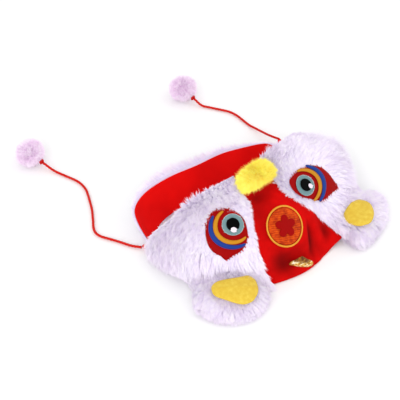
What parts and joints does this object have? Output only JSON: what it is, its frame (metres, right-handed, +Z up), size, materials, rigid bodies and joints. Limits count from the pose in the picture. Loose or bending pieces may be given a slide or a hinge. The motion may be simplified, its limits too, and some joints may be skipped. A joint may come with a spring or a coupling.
{
  "type": "pet lion hat",
  "caption": "Soft plush hood for a small pet: a lion-dance face with embroidered eyes, round ears and a horn, a lined band behind the head and tie cords with pompoms.",
  "frame": {"origin": "middle of the hat's outline on the surface it lies on, its tie cords left out", "axes": "+Z up from that surface, -Y the way the lion looks, +X to the right as seen from in front"},
  "size_m": [0.2272, 0.3059, 0.0779],
  "materials": {
    "white_plush": "long white pile, matt",
    "red_velvet": "red velvet with a low sheen",
    "red_knit": "thin red knitted lining, matt",
    "yellow_plush": "yellow pile tuft, matt",
    "yellow_felt": "yellow felt, matt",
    "gold_lame": "pleated metallic gold cloth",
    "orange_satin": "orange satin, soft sheen",
    "dark_red_thread": "dark red embroidery thread",
    "red_thread": "red embroidery thread",
    "blue_thread": "blue embroidery thread",
    "gold_thread": "gold embroidery thread",
    "grey_thread": "grey-blue embroidery thread",
    "black_thread": "black embroidery thread",
    "white_thread": "white embroidery thread",
    "red_cord": "twisted red cord, slight sheen"
  },
  "bodies": {
    "root": {"band": "white_plush", "cheek_left": "white_plush", "cheek_right": "white_plush", "cord_knot_left": "red_cord", "cord_knot_right": "red_cord", "cord_left": "red_cord", "cord_right": "red_cord", "cord_tab_left": "red_cord", "cord_tab_right": "red_cord", "ear_left": "white_plush", "ear_patch_left": "yellow_felt", "ear_patch_right": "yellow_felt", "ear_right": "white_plush", "eye_blue_arc_left": "blue_thread", "eye_blue_arc_right": "blue_thread", "eye_glint_left": "white_thread", "eye_glint_right": "white_thread", "eye_gold_arc_left": "gold_thread", "eye_gold_arc_right": "gold_thread", "eye_iris_left": "grey_thread", "eye_iris_right": "grey_thread", "eye_patch_left": "red_thread", "eye_patch_right": "red_thread", "eye_pupil_left": "black_thread", "eye_pupil_right": "black_thread", "horn": "gold_lame", "lining": "red_knit", "medallion_blossom": "dark_red_thread", "medallion_disc": "orange_satin", "medallion_ring": "gold_thread", "nose_panel": "red_velvet", "pompom_left": "white_plush", "pompom_right": "white_plush", "tuft": "yellow_plush"}
  },
  "joints": []
}
